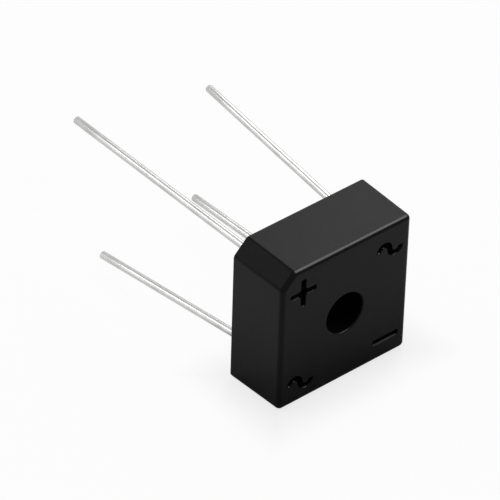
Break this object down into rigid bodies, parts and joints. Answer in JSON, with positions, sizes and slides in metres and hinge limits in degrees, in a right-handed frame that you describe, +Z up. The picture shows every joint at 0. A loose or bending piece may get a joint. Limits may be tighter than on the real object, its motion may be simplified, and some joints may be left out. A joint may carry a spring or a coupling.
{
  "type": "bridge rectifier",
  "caption": "Small square moulded bridge rectifier: black body with one cut corner, a central screw hole, sunk polarity signs and long tinned wire leads out of the back.",
  "frame": {"origin": "centre of the screw hole's mouth on the marked front face", "axes": "+X to the right of the front face, +Y from the front face back along the leads, +Z up, with the body standing on its lower side"},
  "size_m": [0.0152, 0.0319, 0.0152],
  "materials": {
    "case_plastic": "satin",
    "potting_resin": "satin",
    "tinned_wire": "satin",
    "copper_strip": "satin",
    "silicon": "satin",
    "solder": "satin"
  },
  "bodies": {
    "root": {"case": "case_plastic", "potting": "potting_resin", "lead_positive": "tinned_wire", "lead_negative": "tinned_wire", "lead_ac_upper": "tinned_wire", "lead_ac_lower": "tinned_wire", "strip_positive": "copper_strip", "strip_negative": "copper_strip", "strip_ac_upper": "copper_strip", "strip_ac_lower": "copper_strip", "die_top": "silicon", "die_right": "silicon", "die_bottom": "silicon", "die_left": "silicon", "solder_top_front": "solder", "solder_top_back": "solder", "solder_right_front": "solder", "solder_right_back": "solder", "solder_bottom_front": "solder", "solder_bottom_back": "solder", "solder_left_front": "solder", "solder_left_back": "solder", "joint_positive": "solder", "joint_negative": "solder", "joint_ac_upper": "solder", "joint_ac_lower": "solder"}
  },
  "joints": []
}
